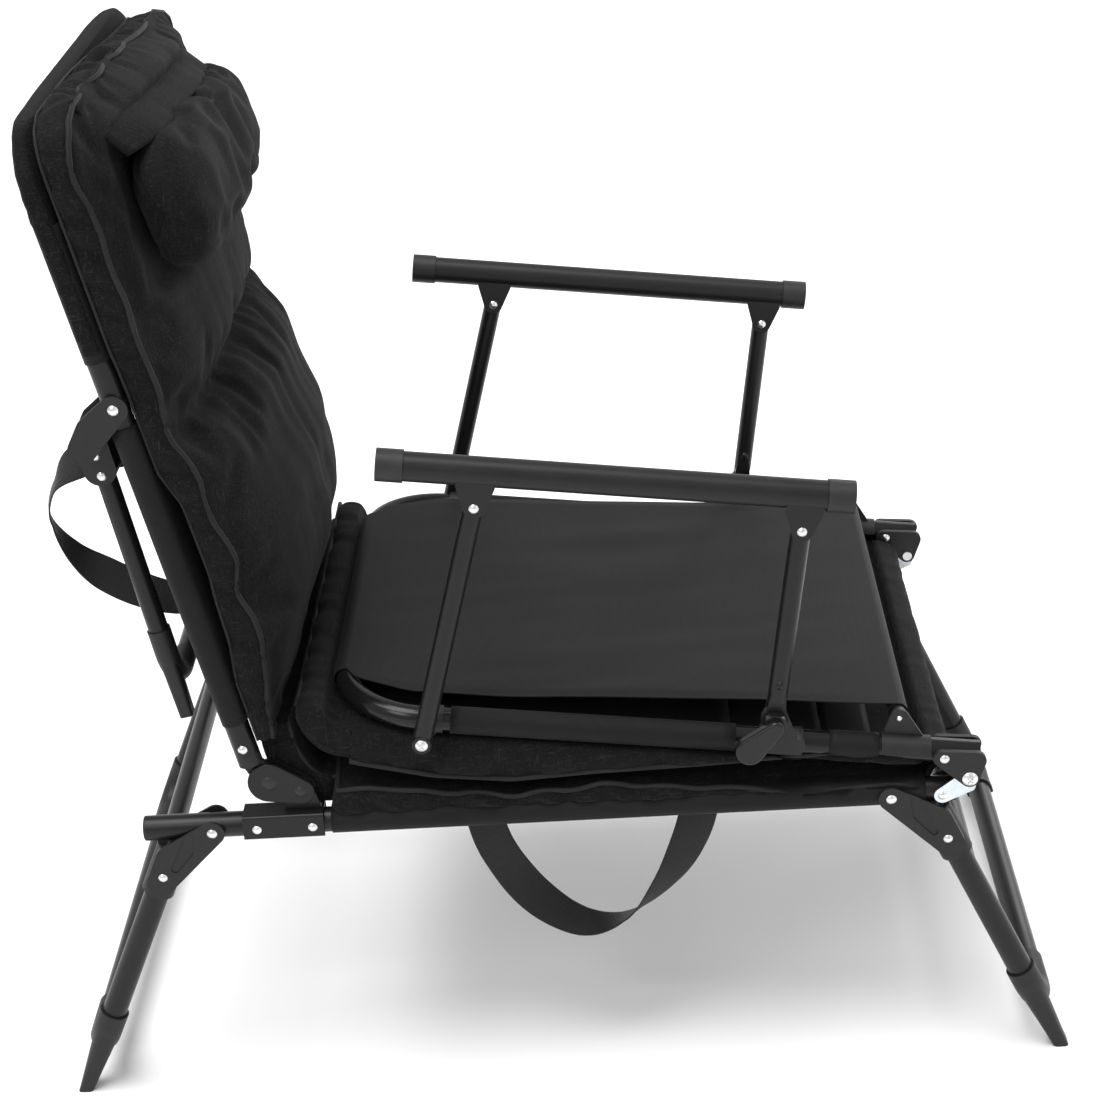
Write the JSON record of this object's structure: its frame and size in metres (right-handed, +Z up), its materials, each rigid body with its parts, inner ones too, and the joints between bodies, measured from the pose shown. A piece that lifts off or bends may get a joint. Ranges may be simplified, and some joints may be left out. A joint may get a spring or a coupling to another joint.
{
  "type": "folding camp chair",
  "caption": "Low folding camp lounger set up as a padded armchair: reclining back with pillow, fold-over foot section, folding arms and tube legs.",
  "frame": {"origin": "on the floor, at the middle of the chair's box", "axes": "+Z up, +X to the front where the sitter's knees are, +Y to the sitter's left"},
  "size_m": [1.0255, 0.5976, 1.0319],
  "materials": {
    "painted_tube": "satin black powder coat",
    "moulded_plastic": "matt black moulded",
    "knob_plastic": "glossy black moulded",
    "rivet_steel": "bright steel",
    "zinc_steel": "zinc plated",
    "black_screw": "black oxide",
    "pad_fabric": "coarse heathered black weave, matt",
    "sling_fabric": "plain tight black weave",
    "webbing": "black ribbed webbing"
  },
  "bodies": {
    "base": {"base_tube_right": "painted_tube", "base_tube_left": "painted_tube", "base_tube_plugs": "moulded_plastic", "seat_rear_cross_tube": "painted_tube", "seat_front_cross_tube": "painted_tube", "hinge_saddles": "painted_tube", "hinge_side_plates": "painted_tube", "recline_screws": "black_screw", "base_rivets": "rivet_steel", "front_hinge_links": "zinc_steel", "front_hinge_screws": "rivet_steel", "front_hinge_spacers": "zinc_steel", "seat_sling": "sling_fabric", "seat_pad": "pad_fabric", "seat_carry_strap": "webbing"},
    "rear_leg": {"rear_leg_frame": "painted_tube", "rear_leg_upper_bar": "painted_tube", "rear_leg_brackets": "moulded_plastic", "rear_leg_feet": "moulded_plastic", "rear_leg_rivets": "rivet_steel"},
    "front_leg": {"front_leg_frame": "painted_tube", "front_leg_upper_bar": "painted_tube", "front_leg_brackets": "moulded_plastic", "front_leg_feet": "moulded_plastic", "front_leg_rivets": "rivet_steel"},
    "backrest": {"backrest_frame": "painted_tube", "backrest_fittings": "moulded_plastic", "backrest_rivets": "rivet_steel", "back_sling": "sling_fabric", "back_pad": "pad_fabric", "head_pillow": "pad_fabric", "back_carry_strap": "webbing"},
    "back_leg": {"back_leg_frame": "painted_tube", "back_leg_brackets": "moulded_plastic", "back_leg_feet": "moulded_plastic", "back_leg_rivets": "rivet_steel"},
    "foot_section": {"foot_frame": "painted_tube", "foot_cross_tube": "painted_tube", "foot_cross_brackets": "moulded_plastic", "foot_hinge_brackets": "moulded_plastic", "foot_sling": "sling_fabric", "foot_seat_panel": "sling_fabric", "foot_pad": "pad_fabric", "foot_fasteners": "rivet_steel", "strut_clamps": "moulded_plastic"},
    "rear_strut_right": {"rear_strut_right": "painted_tube"},
    "front_strut_right": {"front_strut_right": "painted_tube"},
    "armrest_right": {"armrest_tube_right": "painted_tube", "armrest_caps_right": "moulded_plastic", "armrest_clevises_right": "painted_tube", "armrest_rivets_right": "rivet_steel"},
    "clamp_knob_right": {"clamp_knob_right": "knob_plastic"},
    "rear_strut_left": {"rear_strut_left": "painted_tube"},
    "front_strut_left": {"front_strut_left": "painted_tube"},
    "armrest_left": {"armrest_tube_left": "painted_tube", "armrest_caps_left": "moulded_plastic", "armrest_clevises_left": "painted_tube", "armrest_rivets_left": "rivet_steel"},
    "clamp_knob_left": {"clamp_knob_left": "knob_plastic"}
  },
  "joints": [
    {"name": "rear_leg_fold", "type": "hinge", "parent": "base", "child": "rear_leg", "pos_m": [-0.33225, 0, 0.31], "axis": [0, -1, 0], "range_deg": [0, 96], "deforming": ["seat_carry_strap"]},
    {"name": "front_leg_fold", "type": "hinge", "parent": "base", "child": "front_leg", "pos_m": [0.33225, 0, 0.31], "axis": [0, 1, 0], "range_deg": [0, 110]},
    {"name": "backrest_recline", "type": "hinge", "parent": "base", "child": "backrest", "pos_m": [-0.27175, 0, 0.3576], "axis": [0, -1, 0], "range_deg": [0, 77]},
    {"name": "back_leg_fold", "type": "hinge", "parent": "backrest", "child": "back_leg", "pos_m": [-0.36565, 0, 0.75994], "axis": [0, 1, 0], "range_deg": [0, 90], "deforming": ["back_carry_strap"]},
    {"name": "foot_section_fold", "type": "hinge", "parent": "base", "child": "foot_section", "pos_m": [0.40785, 0, 0.3292], "axis": [0, 1, 0], "range_deg": [0, 174]},
    {"name": "arm_fold_right", "type": "hinge", "parent": "foot_section", "child": "rear_strut_right", "pos_m": [-0.11635, 0, 0.406], "axis": [0, -1, 0], "range_deg": [-62, 0]},
    {"name": "front_strut_fold_right", "type": "hinge", "parent": "foot_section", "child": "front_strut_right", "pos_m": [0.22105, 0, 0.411], "axis": [0, -1, 0], "range_deg": [-80, 0]},
    {"name": "armrest_level_right", "type": "hinge", "parent": "rear_strut_right", "child": "armrest_right", "pos_m": [-0.04665, 0, 0.6519], "axis": [0, -1, 0], "range_deg": [0, 62]},
    {"name": "knob_turn_right", "type": "hinge", "parent": "front_strut_right", "child": "clamp_knob_right", "pos_m": [0.22105, 0, 0.411], "axis": [0, -1, 0], "range_deg": [0, 360]},
    {"name": "arm_fold_left", "type": "hinge", "parent": "foot_section", "child": "rear_strut_left", "pos_m": [-0.11635, 0, 0.406], "axis": [0, -1, 0], "range_deg": [-62, 0]},
    {"name": "front_strut_fold_left", "type": "hinge", "parent": "foot_section", "child": "front_strut_left", "pos_m": [0.22105, 0, 0.411], "axis": [0, -1, 0], "range_deg": [-80, 0]},
    {"name": "armrest_level_left", "type": "hinge", "parent": "rear_strut_left", "child": "armrest_left", "pos_m": [-0.04665, 0, 0.6519], "axis": [0, -1, 0], "range_deg": [0, 62]},
    {"name": "knob_turn_left", "type": "hinge", "parent": "front_strut_left", "child": "clamp_knob_left", "pos_m": [0.22105, 0, 0.411], "axis": [0, -1, 0], "range_deg": [0, 360]}
  ],
  "couplings": [
    {"joint": "front_strut_fold_right", "follows": "arm_fold_right", "ratio": 1.285},
    {"joint": "armrest_level_right", "follows": "arm_fold_right", "ratio": -1},
    {"joint": "front_strut_fold_left", "follows": "arm_fold_left", "ratio": 1.285},
    {"joint": "armrest_level_left", "follows": "arm_fold_left", "ratio": -1}
  ]
}
